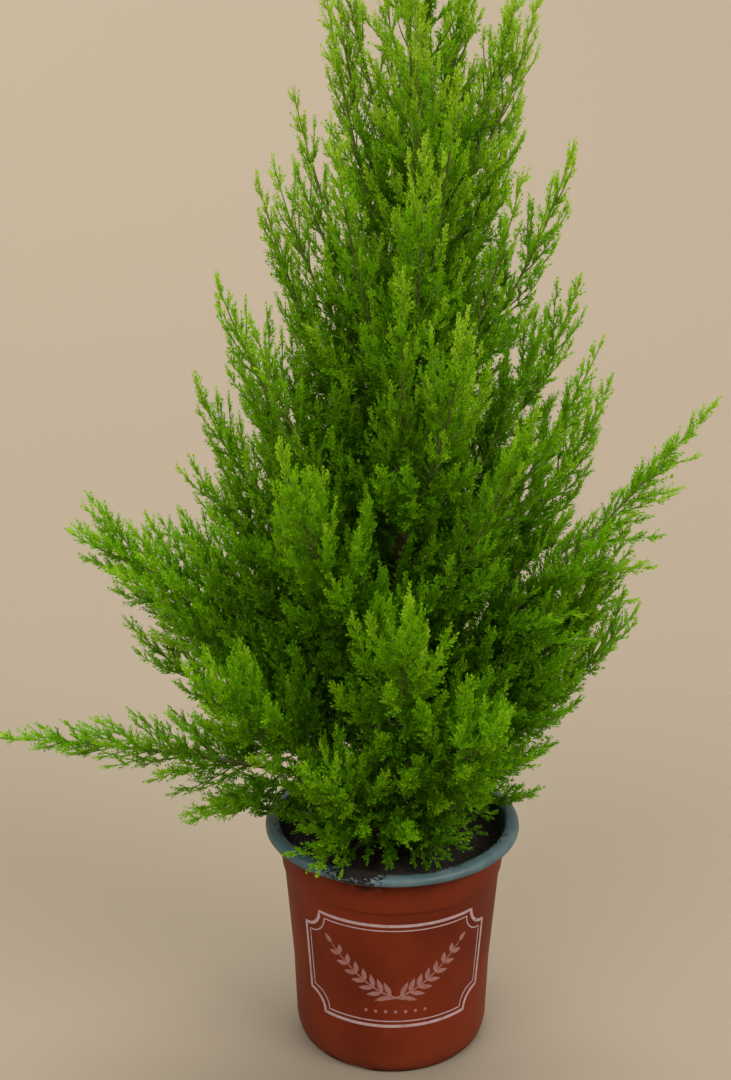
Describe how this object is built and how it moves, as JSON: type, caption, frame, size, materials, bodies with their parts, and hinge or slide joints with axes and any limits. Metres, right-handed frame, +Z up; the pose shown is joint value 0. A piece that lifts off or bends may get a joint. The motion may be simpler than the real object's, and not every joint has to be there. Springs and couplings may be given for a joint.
{
  "type": "potted lemon cypress",
  "caption": "Potted lemon cypress: a round nursery pot filled with peat, a slim leaning trunk, ascending boughs and dense feathery lime-green foliage.",
  "frame": {"origin": "centre of the pot's flat underside", "axes": "+Z up along the trunk, -Y the side shown to the front, +X to its right"},
  "size_m": [0.503, 0.3596, 0.8737],
  "materials": {
    "red_plastic": "moulded terracotta-red nursery plastic, satin, with a pale printed frame",
    "teal_plastic": "grey-teal moulded plastic, satin",
    "peat": "dark moist peat with crumbs and fibres",
    "bark": "thin reddish-brown bark, finely fissured",
    "foliage": "soft lime-green scale foliage, brighter at the shoot tips"
  },
  "bodies": {
    "root": {"pot_wall": "red_plastic", "pot_rim": "teal_plastic", "peat": "peat", "trunk": "bark", "bough_low_1": "bark", "bough_low_2": "bark", "bough_low_3": "bark", "bough_low_4": "bark", "bough_low_5": "bark", "bough_wide_1": "bark", "bough_wide_2": "bark", "bough_wide_3": "bark", "bough_wide_4": "bark", "bough_wide_5": "bark", "bough_middle_1": "bark", "bough_middle_2": "bark", "bough_middle_3": "bark", "bough_middle_4": "bark", "bough_high_1": "bark", "bough_high_2": "bark", "bough_high_3": "bark", "bough_high_4": "bark", "bough_high_5": "bark", "foliage_skirt_1": "foliage", "foliage_skirt_2": "foliage", "foliage_skirt_3": "foliage", "foliage_skirt_4": "foliage", "foliage_skirt_5": "foliage", "foliage_low_1": "foliage", "foliage_low_2": "foliage", "foliage_low_3": "foliage", "foliage_low_4": "foliage", "foliage_low_5": "foliage", "foliage_wide_1": "foliage", "foliage_wide_2": "foliage", "foliage_wide_3": "foliage", "foliage_wide_4": "foliage", "foliage_wide_5": "foliage", "foliage_middle_1": "foliage", "foliage_middle_2": "foliage", "foliage_middle_3": "foliage", "foliage_middle_4": "foliage", "foliage_high_1": "foliage", "foliage_high_2": "foliage", "foliage_high_3": "foliage", "foliage_high_4": "foliage", "foliage_high_5": "foliage", "foliage_upper_1": "foliage", "foliage_upper_2": "foliage", "foliage_upper_3": "foliage", "foliage_upper_4": "foliage", "foliage_crown_1": "foliage", "foliage_crown_2": "foliage", "foliage_crown_3": "foliage", "foliage_crown_4": "foliage", "foliage_top_1": "foliage", "foliage_top_2": "foliage", "foliage_top_3": "foliage", "foliage_top_4": "foliage", "foliage_leader": "foliage"}
  },
  "joints": []
}
